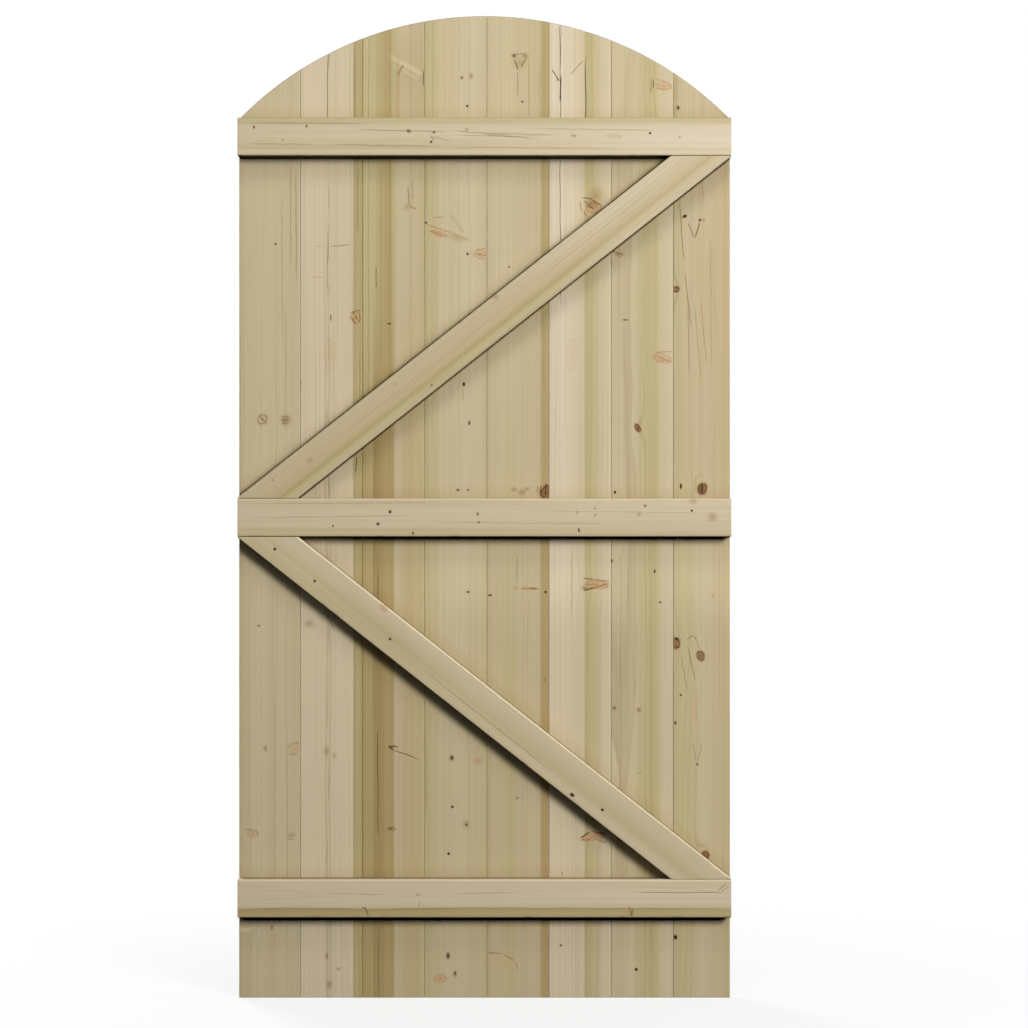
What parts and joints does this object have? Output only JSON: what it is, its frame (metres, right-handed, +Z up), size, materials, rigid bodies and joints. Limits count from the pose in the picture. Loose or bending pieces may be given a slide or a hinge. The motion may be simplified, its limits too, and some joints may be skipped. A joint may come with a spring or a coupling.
{
  "type": "garden gate",
  "caption": "Arched ledged-and-braced timber garden gate leaf: tongue-and-groove boards nailed to three ledges and two diagonal braces.",
  "frame": {"origin": "middle of the leaf's bottom edge, half way through its full thickness of boards and ledges", "axes": "+Z up, +X across the leaf to the right as seen from the ledged side, +Y from the ledged side to the boarded face"},
  "size_m": [0.9, 0.054, 1.8],
  "materials": {
    "board_wood": "planed pressure-treated softwood, matt, pale straw with a green tint, knots and fine grain along the board",
    "ledge_wood": "planed pressure-treated softwood rail, matt, grain along its length, rounded arrises",
    "brace_wood": "planed pressure-treated softwood rail, matt, grain along its length, rounded arrises",
    "galvanised_steel": "hot-dip galvanised, dull grey"
  },
  "bodies": {
    "root": {"board_1": "board_wood", "board_2": "board_wood", "board_3": "board_wood", "board_4": "board_wood", "board_5": "board_wood", "board_6": "board_wood", "board_7": "board_wood", "board_8": "board_wood", "top_ledge": "ledge_wood", "middle_ledge": "ledge_wood", "bottom_ledge": "ledge_wood", "upper_brace": "brace_wood", "lower_brace": "brace_wood", "top_ledge_nails": "galvanised_steel", "middle_ledge_nails": "galvanised_steel", "bottom_ledge_nails": "galvanised_steel", "upper_brace_nails": "galvanised_steel", "lower_brace_nails": "galvanised_steel"}
  },
  "joints": []
}
